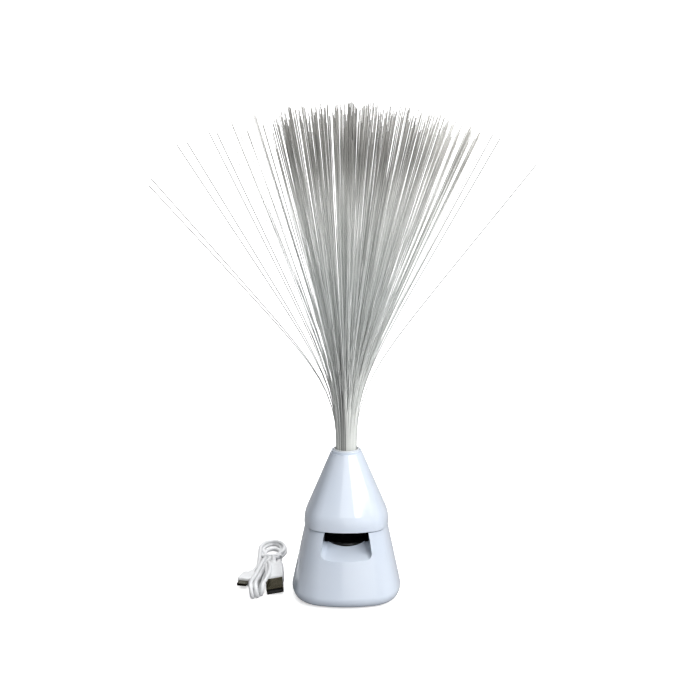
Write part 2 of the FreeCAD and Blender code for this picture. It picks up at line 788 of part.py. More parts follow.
def ring_of_strands(ring):
    """The strands of one ring of the bundle. They differ a little in length and lean."""
    if ring == 0:
        return [strand_solid(0.0, 0.0, 0.0, value("strand_exposed"))]
    solids = []
    for k in range(6 * ring):
        if ring == LAST_RING and k in STRAYS:
            continue
        lean = OUTER_LEAN * ring / LAST_RING + 1.6 * math.sin(7.3 * k + ring)
        length = value("strand_exposed") + 4.0 * math.sin(4.1 * k + 2.0 * ring)
        place_radius = ring * value("ring_step")
        solids.append(strand_solid(place_radius, strand_direction(ring, k), lean, length))
    return solids


def make_fibres():
    group("fibre_core", ring_of_strands(0) + ring_of_strands(1) + ring_of_strands(2))
    group("fibre_inner", ring_of_strands(3))
    group("fibre_middle", ring_of_strands(4))
    group("fibre_outer", ring_of_strands(LAST_RING))
    place_radius = LAST_RING * value("ring_step")
    group("fibre_strays", [
        strand_solid(place_radius, strand_direction(LAST_RING, k), lean,
                     share * value("strand_exposed"))
        for k, (lean, share) in STRAYS.items()
    ])


def make_light():
    tube, low = "tube_radius", "tube_bottom"
    bottom = f"{low} - led_board_thickness"
    turned("led_cap", [
        ("0", f"{bottom} - cap_floor"),
        (f"{tube} + cap_gap + cap_wall", f"{bottom} - cap_floor"),
        (f"{tube} + cap_gap + cap_wall", f"{low} + cap_overlap"),
        (f"{tube} + cap_gap", f"{low} + cap_overlap"),
        (f"{tube} + cap_gap", bottom),
        ("0", bottom),
    ])
    turned("led_board", [("0", bottom), (tube, bottom), (tube, low), ("0", low)])
    body = new_body("led_chip")
    outline = new_sketch(body, "chip_outline", offset=low)
    add_rectangle(outline, "-led_side / 2", "led_side / 2", "-led_side / 2", "led_side / 2")
    pad(body, outline, "chip_block", "led_height")
    dish = new_sketch(body, "chip_dish_outline", offset=f"{low} + led_height")
    add_circle(dish, "0", "0", "0.4 * led_side")
    pocket(body, dish, "chip_dish", "0.3 * led_height")


# ---------------------------------------------------------------- speaker


FLANGE_TOP = "(deck_floor + gasket_thickness + flange_thickness)"
BASKET_TOP = "(deck_floor + gasket_thickness)"
BASKET_LOW = "(deck_floor + gasket_thickness - basket_depth)"
CONE_TOP = FLANGE_TOP


def make_speaker():
    rim = "deck_bore"
    turned("speaker_gasket", [
        (f"{rim} + 0.4", "deck_floor"),
        ("flange_radius", "deck_floor"),
        ("flange_radius", BASKET_TOP),
        (f"{rim} + 0.4", BASKET_TOP),
    ])
    inner_rim = f"({rim} - 0.3 - basket_wall)"
    turned("speaker_frame", [
        ("top_plate_bore", BASKET_LOW),
        ("basket_bottom_radius", BASKET_LOW),
        (f"{rim} - 0.3", f"{BASKET_TOP} - 1"),
        (f"{rim} - 0.3", BASKET_TOP),
        ("flange_radius", BASKET_TOP),
        ("flange_radius", FLANGE_TOP),
        (f"{inner_rim} + 1.4", FLANGE_TOP),
        (inner_rim, f"{BASKET_TOP} - 0.6"),
        ("basket_bottom_radius - basket_wall", f"{BASKET_LOW} + basket_wall"),
        ("top_plate_bore", f"{BASKET_LOW} + basket_wall"),
    ])
    plate_low = f"({BASKET_LOW} - top_plate_thickness)"
    magnet_low = f"({plate_low} - magnet_thickness)"
    turned("speaker_top_plate", [
        ("top_plate_bore", plate_low),
        ("top_plate_radius", plate_low),
        ("top_plate_radius", BASKET_LOW),
        ("top_plate_bore", BASKET_LOW),
    ])
    turned("speaker_magnet", [
        ("magnet_bore", magnet_low),
        ("magnet_radius", magnet_low),
        ("magnet_radius", plate_low),
        ("magnet_bore", plate_low),
    ])
    turned("speaker_yoke", [
        ("0", f"{magnet_low} - yoke_thickness"),
        ("top_plate_radius", f"{magnet_low} - yoke_thickness"),
        ("top_plate_radius", magnet_low),
        ("pole_radius", magnet_low),
        ("pole_radius", BASKET_LOW),
        ("0", BASKET_LOW),
    ])
    cone_low = f"({CONE_TOP} - cone_depth)"
    turned("speaker_cone", [
        ("coil_inside", cone_low),
        ("coil_inside + 0.7", cone_low),
        ("cone_radius - 1.2", f"{CONE_TOP} - cone_thickness"),
        ("cone_radius", f"{CONE_TOP} - cone_thickness"),
        ("cone_radius", CONE_TOP),
        ("cone_radius - 1.4", CONE_TOP),
        ("coil_inside + 0.5", f"{cone_low} + cone_thickness"),
        ("coil_inside", f"{cone_low} + cone_thickness"),
    ])
    turned("voice_coil", [
        ("coil_inside", f"{cone_low} - coil_length"),
        ("coil_outside", f"{cone_low} - coil_length"),
        ("coil_outside", cone_low),
        ("coil_inside", cone_low),
    ])
    make_dust_cap(cone_low)
    make_surround()


def make_dust_cap(cone_low):
    """A shallow dome that stands on the cone round the voice coil."""
    slope = "((cone_depth - cone_thickness) / (cone_radius - 1.9 - coil_inside))"
    stand = f"{cone_low} + cone_thickness + 0.03"
    outer = "dust_cap_radius"
    inner = "(dust_cap_radius - 0.4)"
    outer_low = f"({stand} + {slope} * ({outer} - coil_inside - 0.5))"
    inner_low = f"({stand} + {slope} * ({inner} - coil_inside - 0.5))"
    crown = f"({outer_low} + dust_cap_rise)"
    outer_bend = "((dust_cap_radius ^ 2 + dust_cap_rise ^ 2) / (2 * dust_cap_rise))"
    under = f"({crown} - 0.35)"
    inner_rise = f"({under} - {inner_low})"
    inner_bend = f"(({inner} ^ 2 + {inner_rise} ^ 2) / (2 * {inner_rise}))"
    turned("dust_cap", [
        (outer, outer_low, outer_bend, -1),
        ("0", crown),
        ("0", under, inner_bend, 1),
        (inner, inner_low),
    ])


def make_surround():
    """A half roll of rubber between the frame's flange and the cone's edge."""
    middle = "(cone_radius - roll_foot + 1.2 + roll_radius - roll_thickness)"
    inside = "(roll_radius - roll_thickness)"
    turned("speaker_surround", [
        (f"{middle} - {inside} - roll_foot", FLANGE_TOP),
        (f"{middle} - {inside}", FLANGE_TOP, inside, 1, FLANGE_TOP),
        (f"{middle} + {inside}", FLANGE_TOP),
        (f"{middle} + roll_radius + roll_foot", FLANGE_TOP),
        (f"{middle} + roll_radius + roll_foot", f"{FLANGE_TOP} + roll_thickness"),
        (f"{middle} + sqrt(roll_radius ^ 2 - roll_thickness ^ 2)",
         f"{FLANGE_TOP} + roll_thickness", "roll_radius", -1, FLANGE_TOP),
        (f"{middle} - sqrt(roll_radius ^ 2 - roll_thickness ^ 2)",
         f"{FLANGE_TOP} + roll_thickness"),
        (f"{middle} - {inside} - roll_foot", f"{FLANGE_TOP} + roll_thickness"),
    ])


# ---------------------------------------------------------------- electronics


def make_boards():
    body = new_body("main_board")
    outline = new_sketch(body, "board_outline", offset="board_under")
    add_rectangle(outline, "-board_half", "board_half", "-board_front", "board_rear")
    pad(body, outline, "board_plate", "board_thickness")
    holes = new_sketch(body, "board_holes_outline", offset="board_under - 1")
    for x, y in (("-post_x", "-post_front"), ("post_x", "-post_front"),
                 ("-post_x", "post_rear"), ("post_x", "post_rear")):
        add_circle(holes, x, y, "board_screw_radius + 2 * screw_gap")
    pocket(body, holes, "board_holes", "board_thickness + 2", reverse=True)

    body = new_body("board_components")
    body.AllowCompound = True
    chips = new_sketch(body, "chips_outline", offset="board_under + board_thickness")
    add_rectangle(chips, "-11", "-1", "-12", "0")
    add_rectangle(chips, "4", "10", "-10", "-4")
    add_rectangle(chips, "2", "12", "4", "9")
    pad(body, chips, "chips", "1.8")

    body = new_body("control_board")
    outline = new_sketch(body, "panel_outline", plane="XZ_Plane", offset="-panel_front")
    add_rectangle(outline, "-panel_half", "panel_half", "control_height - panel_rise",
                  "control_height + panel_rise")
    pad(body, outline, "panel_plate", "panel_thickness", reverse=True)
    holes = new_sketch(body, "panel_holes_outline", plane="XZ_Plane", offset="-panel_front + 1")
    for side in (-1, 1):
        add_circle(holes, f"{side} * panel_boss_x", "control_height",
                   "board_screw_radius + 2 * screw_gap")
    pocket(body, holes, "panel_holes", "panel_thickness + 2")

    body = new_body("battery")
    outline = new_sketch(body, "battery_outline", offset="cover_top")
    add_rectangle(outline, "-battery_half", "battery_half", "-battery_front", "battery_rear")
    pad(body, outline, "battery_block", "battery_thickness")
    round_edges(body, "battery_rounding", "battery_rounding", lambda edge: True)


def make_controls():
    rear_face = "(panel_front + panel_thickness)"
    body = new_body("button_switches")
    body.AllowCompound = True
    blocks = new_sketch(body, "switch_outline", plane="XZ_Plane", offset=f"-({rear_face})")
    plungers = new_sketch(body, "plunger_outline", plane="XZ_Plane",
                          offset=f"-({rear_face} + switch_depth)")
    half = "switch_side / 2"
    for side in (-1, 1):
        add_rectangle(blocks, f"{side} * button_x - {half}", f"{side} * button_x + {half}",
                      f"control_height - {half}", f"control_height + {half}")
        add_circle(plungers, f"{side} * button_x", "control_height", "plunger_radius")
    pad(body, blocks, "switch_blocks", "switch_depth", reverse=True)
    pad(body, plungers, "switch_plungers", f"plunger_end - {rear_face} - switch_depth",
        reverse=True)
    for name, side in (("power_button", 1), ("light_button", -1)):
        button = turned(name, [
            ("0", "button_tail"),
            ("plunger_radius", "button_tail"),
            ("button_flange_radius", "button_tail"),
            ("button_flange_radius", "button_flange_rear"),
            ("button_radius", "button_flange_rear"),
            ("button_radius", "button_front - button_dish", "button_dish", -1),
            ("button_radius - button_dish", "button_front"),
            ("0", "button_front - button_dish / 2"),
        ], plane="XY_Plane")
        place(button, x=f"{side} * button_x", z="control_height")
    body = new_body("charging_socket")
    shell = new_sketch(body, "socket_shell_outline", plane="XZ_Plane", offset=f"-({rear_face})")
    add_rectangle(shell, "-socket_width / 2", "socket_width / 2",
                  "control_height - socket_height / 2", "control_height + socket_height / 2")
    pad(body, shell, "socket_shell", f"socket_mouth - {rear_face}", reverse=True)
    mouth = new_sketch(body, "socket_mouth_outline", plane="XZ_Plane", offset="-socket_mouth")
    add_rectangle(mouth, "-socket_width / 2 + socket_wall", "socket_width / 2 - socket_wall",
                  "control_height - socket_height / 2 + socket_wall",
                  "control_height + socket_height / 2 - socket_wall")
    pocket(body, mouth, "socket_inside", "0.7 * (socket_mouth - panel_front)", reverse=True)


# ---------------------------------------------------------------- charging lead


HANK_OUTLINE = [
    (-69.0, -7.0), (-66.8, -13.2), (-63.6, -14.8), (-61.0, -12.5), (-60.0, -4.0), (-60.0, 19.5),
    (-56.3, 24.0), (-53.0, 40.0), (-50.2, 56.0), (-50.2, 60.0), (-46.4, 72.0), (-45.5, 86.0),
    (-48.5, 98.0), (-56.0, 105.5), (-64.0, 101.0), (-68.3, 88.0), (-67.6, 72.0), (-62.0, 60.0),
    (-62.0, 56.0), (-63.5, 42.0), (-64.9, 22.0), (-66.6, 10.0), (-68.6, 3.0),
]
USB_TAIL = [(-53.39, 26.21, 12.54), (-53.83, 32.47, 14.22), (-54.8, 41.5, 11.2),
            (-55.6, 51.5, 4.2)]
MICRO_TAIL = [(-69.95, 28.76, 3.3), (-68.2, 35.8, 3.3), (-64.5, 43.5, 3.3), (-59.0, 50.0, 3.3)]


def cord_tube(name, points):
    """A tube along straight runs joined by the largest tangent arcs that both runs allow."""
    spots = [FreeCAD.Vector(*point) for point in points]
    radius = value("cord_diameter") / 2
    edges, at, radii = [], spots[0], []
    for before, here, after in zip(spots, spots[1:], spots[2:]):
        back, forward = (before - here), (after - here)
        reach = 0.45 * min(back.Length, forward.Length)
        turn = math.pi - back.getAngle(forward)
        back.normalize()
        forward.normalize()
        start, end = here + back * reach, here + forward * reach
        radii.append(reach / math.tan(turn / 2))
        sagitta = radii[-1] / math.cos(turn / 2) - radii[-1]
        middle = here + (back + forward).normalize() * sagitta
        edges.append(Part.makeLine(at, start))
        edges.append(Part.Arc(start, middle, end).toShape())
        at = end
    edges.append(Part.makeLine(at, spots[-1]))
    path = Part.Wire(edges)
    across = (spots[1] - spots[0]).normalize()
    section = Part.Wire(Part.makeCircle(radius, spots[0], across))
    feature = doc.addObject("Part::Feature", name)
    feature.Label = name
    feature.Shape = path.makePipeShell([section], True, False)
    parts.append(feature)
    expected = math.pi * radius**2 * path.Length
    print(f"{name}: length {path.Length:.1f}, radii {[round(r, 1) for r in radii]},"
          f" volume {feature.Shape.Volume:.1f} of {expected:.1f}")


def make_hank():
    """The folded lead as one soft body, with a shallow groove under its waist for the tie."""
    spots = [FreeCAD.Vector(x, y, 0) for x, y in HANK_OUTLINE]
    face = Part.Face(Part.makePolygon([*spots, spots[0]]))
    height = value("hank_height")
    block = face.extrude(FreeCAD.Vector(0, 0, height))
    level = [edge for edge in block.Edges if abs(edge.BoundBox.ZLength) < 1e-6]
    block = block.makeChamfer(value("hank_rounding"), level)
    depth = value("tie_thickness + 2 * tie_gap")
    width = value("tie_width + 2 * tie_gap")
    corner = FreeCAD.Vector(-90, value("tie_y") - width / 2, -1)
    groove = Part.makeBox(60, width, depth + 1, corner)
    feature = doc.addObject("Part::Feature", "cable_hank")
    feature.Label = "cable_hank"
    feature.Shape = block.cut(groove)
    parts.append(feature)


def make_tie():
    body = new_body("cable_tie")
    outline = new_sketch(body, "tie_outline", plane="XZ_Plane",
                         offset="-(tie_y - tie_width / 2)")
    low, high = "tie_gap", "hank_height + tie_gap + tie_thickness"
    add_rectangle(outline, "-(tie_x + tie_half + tie_thickness)", "-(tie_x - tie_half - tie_thickness)",
                  low, high)
    pad(body, outline, "tie_band", "tie_width", reverse=True)
    inside = new_sketch(body, "tie_inside_outline", plane="XZ_Plane",
                        offset="-(tie_y - tie_width / 2 - 1)")
    add_rectangle(inside, "-(tie_x + tie_half)", "-(tie_x - tie_half)",
                  f"{low} + tie_thickness", "hank_height + tie_gap")
    pocket(body, inside, "tie_inside", "tie_width + 2")


def make_plug(name, width, height, length, wall, grip_width, grip_height, grip_length):
    """A plug along +X with its metal shell's mouth at the origin; its grip ends in a short collar
    round the cord."""
    shell = new_body(f"{name}_plug_shell")
    outline = new_sketch(shell, f"{name}_shell_outline", plane="YZ_Plane", offset=f"-{length}")
    add_rectangle(outline, f"-{width} / 2", f"{width} / 2", f"-{height} / 2", f"{height} / 2")
    pad(shell, outline, f"{name}_shell_block", length)
    mouth = new_sketch(shell, f"{name}_mouth_outline", plane="YZ_Plane")
    add_rectangle(mouth, f"-{width} / 2 + {wall}", f"{width} / 2 - {wall}",
                  f"-{height} / 2 + {wall}", f"{height} / 2 - {wall}")
    pocket(shell, mouth, f"{name}_mouth", f"0.75 * {length}")
    grip = new_body(f"{name}_plug_grip")
    outline = new_sketch(grip, f"{name}_grip_outline", plane="YZ_Plane",
                         offset=f"-({length} + {grip_length})")
    add_rectangle(outline, f"-{grip_width} / 2", f"{grip_width} / 2",
                  f"-{grip_height} / 2", f"{grip_height} / 2")
    pad(grip, outline, f"{name}_grip_block", grip_length)
    round_edges(grip, f"{name}_grip_rounding", f"0.24 * {grip_height}", lambda edge: True)
    collar = new_sketch(grip, f"{name}_collar_outline", plane="YZ_Plane",
                        offset=f"-({length} + {grip_length} + 4)")
    add_circle(collar, "0", "0", "0.85 * cord_diameter")
    pad(grip, collar, f"{name}_collar", "5")
    return shell, grip


def make_lead():
    usb = make_plug("usb", "usb_width", "usb_height", "usb_length", "usb_wall",
                    "usb_grip_width", "usb_grip_height", "usb_grip_length")
    insert = new_body("usb_plug_insert")
    outline = new_sketch(insert, "usb_insert_outline", plane="YZ_Plane", offset="-0.74 * usb_length")
    add_rectangle(outline, "-usb_width / 2 + usb_wall + 0.05", "usb_width / 2 - usb_wall - 0.05",
                  "-usb_height / 2 + usb_wall + 0.05", "0")
    pad(insert, outline, "usb_insert_block", "0.7 * usb_length")
    usb_place = FreeCAD.Placement(FreeCAD.Vector(-51.0, -8.0, 3.35),
                                  FreeCAD.Rotation(-86, 15, 10))
    for body in (*usb, insert):
        body.Placement = usb_place
    micro = make_plug("micro", "micro_width", "micro_height", "micro_length", "micro_wall",
                      "micro_grip_width", "micro_grip_height", "micro_grip_length")
    micro_place = FreeCAD.Placement(FreeCAD.Vector(-76.0, 4.5, 3.3),
                                    FreeCAD.Rotation(-104, 0, 0))
    for body in micro:
        body.Placement = micro_place
    for kind, where, length in (("usb", usb_place, "usb_length + usb_grip_length + 4"),
                                ("micro", micro_place, "micro_length + micro_grip_length + 4")):
        end = where.multVec(FreeCAD.Vector(-value(length), 0, 0))
        print(f"{kind} lead end {[round(c, 2) for c in end]}")
    make_hank()
    make_tie()
    cord_tube("cable_tail_usb", USB_TAIL)
    cord_tube("cable_tail_micro", MICRO_TAIL)


# ---------------------------------------------------------------- build and write


make_upper_housing()
make_lower_housing()
make_upper_floor()
make_bottom_cover()
make_fasteners()
make_ferrule()
make_fibres()
make_light()
make_speaker()
make_boards()
make_board_screws()
make_controls()
make_lead()
doc.recompute()

for item in doc.Objects:
    if "Invalid" in item.State or "Error" in item.State:
        raise RuntimeError(f"{item.Label} did not build: {item.State}")
for body in parts:
    before = 0
    for item in getattr(body, "Group", []):
        if not item.isDerivedFrom("PartDesign::Feature"):
            continue
        is_cut = "Pocket" in item.TypeId or "Subtractive" in item.TypeId
        if is_cut and item.Shape.Volume > before - 1e-3:
            raise RuntimeError(f"{item.Label} cuts nothing")
        before = item.Shape.Volume
os.makedirs("parts", exist_ok=True)
for item in parts:
    shape = item.Shape
    if shape.isNull() or not shape.isValid() or not shape.Solids:
        raise RuntimeError(f"{item.Label} has no valid solid")
    shape.exportStep(f"parts/{item.Label}.step")
print(f"{len(parts)} pieces written")
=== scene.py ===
import bpy
import math
import random
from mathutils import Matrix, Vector


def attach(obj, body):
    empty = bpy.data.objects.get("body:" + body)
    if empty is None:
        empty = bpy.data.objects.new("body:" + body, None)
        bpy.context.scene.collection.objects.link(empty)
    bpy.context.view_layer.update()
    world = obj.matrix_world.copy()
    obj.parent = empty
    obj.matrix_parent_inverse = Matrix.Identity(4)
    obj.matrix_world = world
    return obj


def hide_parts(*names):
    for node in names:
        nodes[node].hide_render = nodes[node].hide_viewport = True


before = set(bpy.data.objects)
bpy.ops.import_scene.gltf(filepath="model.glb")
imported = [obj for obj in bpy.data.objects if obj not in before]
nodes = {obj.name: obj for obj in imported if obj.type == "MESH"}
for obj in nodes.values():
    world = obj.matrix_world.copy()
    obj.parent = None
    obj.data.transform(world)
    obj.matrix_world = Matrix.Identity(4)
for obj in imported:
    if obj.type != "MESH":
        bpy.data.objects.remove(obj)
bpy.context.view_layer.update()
scene = bpy.context.scene
scene.view_settings.view_transform = "Standard"


# ---------------------------------------------------------------- camera
# The lamp is seen from the front and a little above, from about a metre away, so that the spray
# of fibres fills the upper half of the frame and the housing stands below its middle.
camera_place = (0.00115, -0.9832, 0.3713)
camera_dip = 11.09
lens_length = 74.4
camera_data = bpy.data.cameras.new("front_camera")
camera_data.lens = lens_length
camera = bpy.data.objects.new("front_camera", camera_data)
camera.location = camera_place
camera.rotation_euler = (math.radians(90 - camera_dip), 0, 0)
scene.collection.objects.link(camera)
scene.camera = camera


# ---------------------------------------------------------------- studio
# A pale paper floor that turns up into a pale wall, a long softbox high on the right, wide fills
# in front, above and on the right, and a dark cloth far to the left that shades the flank. Paper
# and air look paler to the camera than the light they throw back on the lamp.
paper_half_width, paper_front, paper_back, paper_top = 1.5, -1.5, 0.9, 2.6
bend_radius, bend_steps = 0.5, 8
paper_seen, paper_thrown, paper_glow = (0.97, 0.97, 0.97), (0.32, 0.32, 0.33), 0.6
air_seen, air_thrown = 1.0, 0.04
cloth_away, cloth_front, cloth_back, cloth_top = -1.7, -1.8, 1.0, 1.5


def add_mesh(name, points, faces):
    """A smooth mesh object in the scene, in the lamp's own frame."""
    mesh = bpy.data.meshes.new(name)
    mesh.from_pydata([tuple(p) for p in points], [], faces)
    mesh.validate()
    mesh.polygons.foreach_set("use_smooth", [True] * len(mesh.polygons))
    piece = bpy.data.objects.new(name, mesh)
    scene.collection.objects.link(piece)
    return piece


def new_material(name):
    """A material, its node tree and its shader."""
    material = bpy.data.materials.new(name)
    material.use_nodes = True
    tree = material.node_tree
    return material, tree, tree.nodes["Principled BSDF"]


def blend_colour(tree, share, first, second, way="MIX"):
    """A colour between two, by a share that may be a number or a node's output. Each colour may
    be a node's output too."""
    mix = tree.nodes.new("ShaderNodeMix")
    mix.data_type = "RGBA"
    mix.blend_type = way
    for socket, given in ((mix.inputs["A"], first), (mix.inputs["B"], second),
                          (mix.inputs["Factor"], share)):
        if isinstance(given, tuple):
            socket.default_value = (*given, 1)
        elif isinstance(given, float):
            socket.default_value = given
        else:
            tree.links.new(given, socket)
    return mix.outputs["Result"]


def for_camera(tree, thrown, seen):
    """One strength for what the camera sees, and another for the light thrown on the lamp."""
    path = tree.nodes.new("ShaderNodeLightPath")
    strength = tree.nodes.new("ShaderNodeMapRange")
    strength.inputs["To Min"].default_value = thrown
    strength.inputs["To Max"].default_value = seen
    tree.links.new(path.outputs["Is Camera Ray"], strength.inputs["Value"])
    return strength.outputs["Result"]


def soft_lamp(name, place, target, width, height, power):
    """A rectangular studio lamp that faces a point and isn't seen itself."""
    data = bpy.data.lights.new(name, "AREA")
    data.shape = "RECTANGLE"
    data.size, data.size_y = width, height
    data.energy = power
    lamp = bpy.data.objects.new(name, data)
    lamp.location = place
    lamp.rotation_euler = (Vector(target) - Vector(place)).to_track_quat("-Z", "Y").to_euler()
    lamp.visible_camera = False
    scene.collection.objects.link(lamp)


floor_profile = [(paper_front, 0.0), (paper_back, 0.0)]
for step in range(1, bend_steps + 1):
    turn = math.radians(90 * step / bend_steps)
    floor_profile.append((paper_back + bend_radius * math.sin(turn),
                          bend_radius - bend_radius * math.cos(turn)))
floor_profile.append((paper_back + bend_radius, paper_top))
floor_points = [(side * paper_half_width, y, z) for y, z in floor_profile for side in (-1, 1)]
floor_faces = [(2 * i, 2 * i + 1, 2 * i + 3, 2 * i + 2) for i in range(len(floor_profile) - 1)]
floor = add_mesh("studio_floor", floor_points, floor_faces)
paper, tree, shader = new_material("studio_paper")
tree.links.new(blend_colour(tree, for_camera(tree, 0, 1), paper_thrown, paper_seen),
               shader.inputs["Base Color"])
tree.links.new(for_camera(tree, 0, paper_glow), shader.inputs["Emission Strength"])
shader.inputs["Emission Color"].default_value = (1, 1, 1, 1)
shader.inputs["Roughness"].default_value = 0.95
shader.inputs["Specular IOR Level"].default_value = 0.1
floor.data.materials.append(paper)

side_wall = add_mesh("studio_side_wall",
                     [(cloth_away, cloth_front, 0), (cloth_away, cloth_back, 0),
                      (cloth_away, cloth_back, cloth_top), (cloth_away, cloth_front, cloth_top)],
                     [(0, 1, 2, 3)])
dark_cloth, tree, shader = new_material("studio_dark_cloth")
shader.inputs["Base Color"].default_value = (0.02, 0.02, 0.02, 1)
shader.inputs["Roughness"].default_value = 1.0
side_wall.data.materials.append(dark_cloth)

soft_lamp("key_lamp", (0.735, -0.785, 0.845), (0, 0, 0.09), 1.14, 0.36, 12.0)
soft_lamp("upper_fill", (0.1, -1.45, 1.2), (0, 0, 0.1), 1.0, 0.8, 5.2)
soft_lamp("front_fill", (0.6, -1.8, 0.5), (0, 0, 0.12), 1.7, 0.8, 5.4)
soft_lamp("right_fill", (1.5, -0.3, 0.5), (0, 0, 0.1), 0.8, 0.8, 0.6)
soft_lamp("top_fill", (0.45, -0.1, 1.8), (0, 0, 0.1), 1.4, 1.5, 9.0)
soft_lamp("wall_fill", (0.0, 0.3, 1.5), (0, 1.4, 0.5), 1.8, 0.6, 28.0)
world = bpy.data.worlds.new("studio_air")
world.use_nodes = True
air = world.node_tree
background = air.nodes["Background"]
air.links.new(for_camera(air, air_thrown, air_seen), background.inputs["Strength"])
background.inputs["Color"].default_value = (1, 1, 1, 1)
scene.world = world


# ---------------------------------------------------------------- housing mouldings
# The upper and lower shells and the two push buttons, injection moulded in cool white ABS and
# polished in the mould. Inside the lower shell, the speaker's deep well has a painted black shade.
shell_white, shell_pale = (0.715, 0.79, 0.90), (0.74, 0.81, 0.91)
# The well's near black is painted shade for the deep recess in the lower shell.
well_painted_shade, well_reach, well_floor = (0.006, 0.006, 0.007), 0.01765, 0.0378
moulded_edge = 0.0004


def finish_nodes(material, *names):
    """Puts a finish on CAD pieces."""
    for name in names:
        piece = nodes[name]
        piece.data.materials.clear()
        piece.data.materials.append(material)


def cloudy(tree, scale, low, high, stretch=(1, 1, 1)):
    """A soft noise between two levels, on the piece's own coordinates in metres."""
    place = tree.nodes.new("ShaderNodeTexCoord")
    mapping = tree.nodes.new("ShaderNodeMapping")
    mapping.inputs["Scale"].default_value = stretch
    noise = tree.nodes.new("ShaderNodeTexNoise")
    noise.inputs["Scale"].default_value = scale
    noise.inputs["Detail"].default_value = 3.0
    spread = tree.nodes.new("ShaderNodeMapRange")
    spread.inputs["From Min"].default_value = 0.3
    spread.inputs["From Max"].default_value = 0.7
    spread.inputs["To Min"].default_value = low
    spread.inputs["To Max"].default_value = high
    tree.links.new(place.outputs["Object"], mapping.inputs["Vector"])
    tree.links.new(mapping.outputs["Vector"], noise.inputs["Vector"])
    tree.links.new(noise.outputs["Fac"], spread.inputs["Value"])
    return spread.outputs["Result"]


def raise_surface(tree, shader, height, strength, distance):
    """A bump on the shader from a height between 0 and 1; distance is in metres."""
    bump = tree.nodes.new("ShaderNodeBump")
    bump.inputs["Strength"].default_value = strength
    bump.inputs["Distance"].default_value = distance
    tree.links.new(height, bump.inputs["Height"])
    tree.links.new(bump.outputs["Normal"], shader.inputs["Normal"])


def math_step(tree, operation, first, second):
    """One step of arithmetic between a node's output and a number or another output."""
    step = tree.nodes.new("ShaderNodeMath")
    step.operation = operation
    tree.links.new(first, step.inputs[0])
    if isinstance(second, float):
        step.inputs[1].default_value = second
    else:
        tree.links.new(second, step.inputs[1])
    return step.outputs["Value"]


def inside_well(tree):
    """1 inside the round well of the speaker and 0 outside it."""
    place = tree.nodes.new("ShaderNodeTexCoord")
    parts = tree.nodes.new("ShaderNodeSeparateXYZ")
    flat = tree.nodes.new("ShaderNodeCombineXYZ")
    reach = tree.nodes.new("ShaderNodeVectorMath")
    reach.operation = "LENGTH"
    tree.links.new(place.outputs["Object"], parts.inputs["Vector"])
    tree.links.new(parts.outputs["X"], flat.inputs["X"])
    tree.links.new(parts.outputs["Y"], flat.inputs["Y"])
    tree.links.new(flat.outputs["Vector"], reach.inputs[0])
    near = math_step(tree, "LESS_THAN", reach.outputs["Value"], well_reach)
    above = math_step(tree, "GREATER_THAN", parts.outputs["Z"], well_floor)
    return math_step(tree, "MULTIPLY", near, above)


def white_shell(name, with_painted_well_shade=False):
    """Polished cool white ABS; in the lower shell the speaker's well has a painted black shade."""
    material, tree, shader = new_material(name)
    tone = blend_colour(tree, cloudy(tree, 35, 0, 1), shell_white, shell_pale)
    if with_painted_well_shade:
        tone = blend_colour(tree, inside_well(tree), tone, well_painted_shade)
    tree.links.new(tone, shader.inputs["Base Color"])
    tree.links.new(cloudy(tree, 60, 0.06, 0.10), shader.inputs["Roughness"])
    raise_surface(tree, shader, cloudy(tree, 900, 0, 1), 0.04, 0.00005)
    shader.inputs["Coat Weight"].default_value = 0.3
    shader.inputs["Coat Roughness"].default_value = 0.03
    return material


def soften_edges(width, *names):
    """Rounds the sharp moulded edges of CAD pieces a little, as a polished mould does."""
    for name in names:
        edge = nodes[name].modifiers.new("polished_edges", "BEVEL")
        edge.width = width
        edge.segments = 2
        edge.limit_method = "ANGLE"
        edge.angle_limit = math.radians(35)
        edge.harden_normals = True


finish_nodes(white_shell("polished_white_shell"), "upper_housing", "power_button", "light_button")
finish_nodes(white_shell("polished_white_base", with_painted_well_shade=True), "lower_housing")
soften_edges(moulded_edge, "upper_housing", "lower_housing", "power_button", "light_button")


# ---------------------------------------------------------------- side and rear walls
# The lower shell is closed at the sides and the back, and open in front alone. Thin panels of the
# same polished ABS carry the wall's curve on over the shell's other three scoops, and a block
# moulded behind each gives the wall its thickness, back to the speaker's well.
wall_low, wall_top, shell_foot = 0.0308, 0.0528, 0.0008
outline_top, outline_foot = (0.0292, 0.0504, 0.0141), (0.0403, 0.0740, 0.0260)
side_steps, corner_steps = 14, 4
panel_front, panel_back, panel_rows = 0.00003, -0.0012, 12
block_half, block_floor, block_inset, block_steps = 0.0156, 0.0338, 0.0008, 16
well_radius, ramp_start, ramp_height, ramp_slope = 0.0176, 0.0175, 0.0391, 0.4
foot_half, wall_lean, wall_bow = 0.0403, 0.2135, 0.1
rim_height, scoop_draft, scoop_half = 0.0536, 0.176, 0.0155
front_scoop_near, front_scoop_half = -0.0085, 0.01446


def quarter_axes(quarter):
    """The outward and sideways directions of one side of the shell, by quarter turns."""
    angle = math.radians(90 * quarter)
    out = Vector((math.cos(angle), math.sin(angle), 0))
    return out, Vector((-out.y, out.x, 0))


def bowed_side(half, bow, corner):
    """One side of a square with bowed sides and rounded corners, out to a third of the way round
    the corners: places as (out, aside), left to right."""
    reach = half - bow
    gap = bow - corner
    middle = (reach + math.sqrt(2 * gap ** 2 - reach ** 2)) / 2
    turn = math.atan2(middle, middle - reach)
    line = []
    for step in range(-side_steps - corner_steps, side_steps + corner_steps + 1):
        share = abs(step) / side_steps
        if share <= 1:
            angle = share * turn
            place = (reach + bow * math.cos(angle), bow * math.sin(angle))
        else:
            angle = turn + (share - 1) * (math.pi / 2 - 2 * turn)
            place = (middle + corner * math.cos(angle), middle + corner * math.sin(angle))
        line.append((place[0], math.copysign(place[1], step)))
    return line


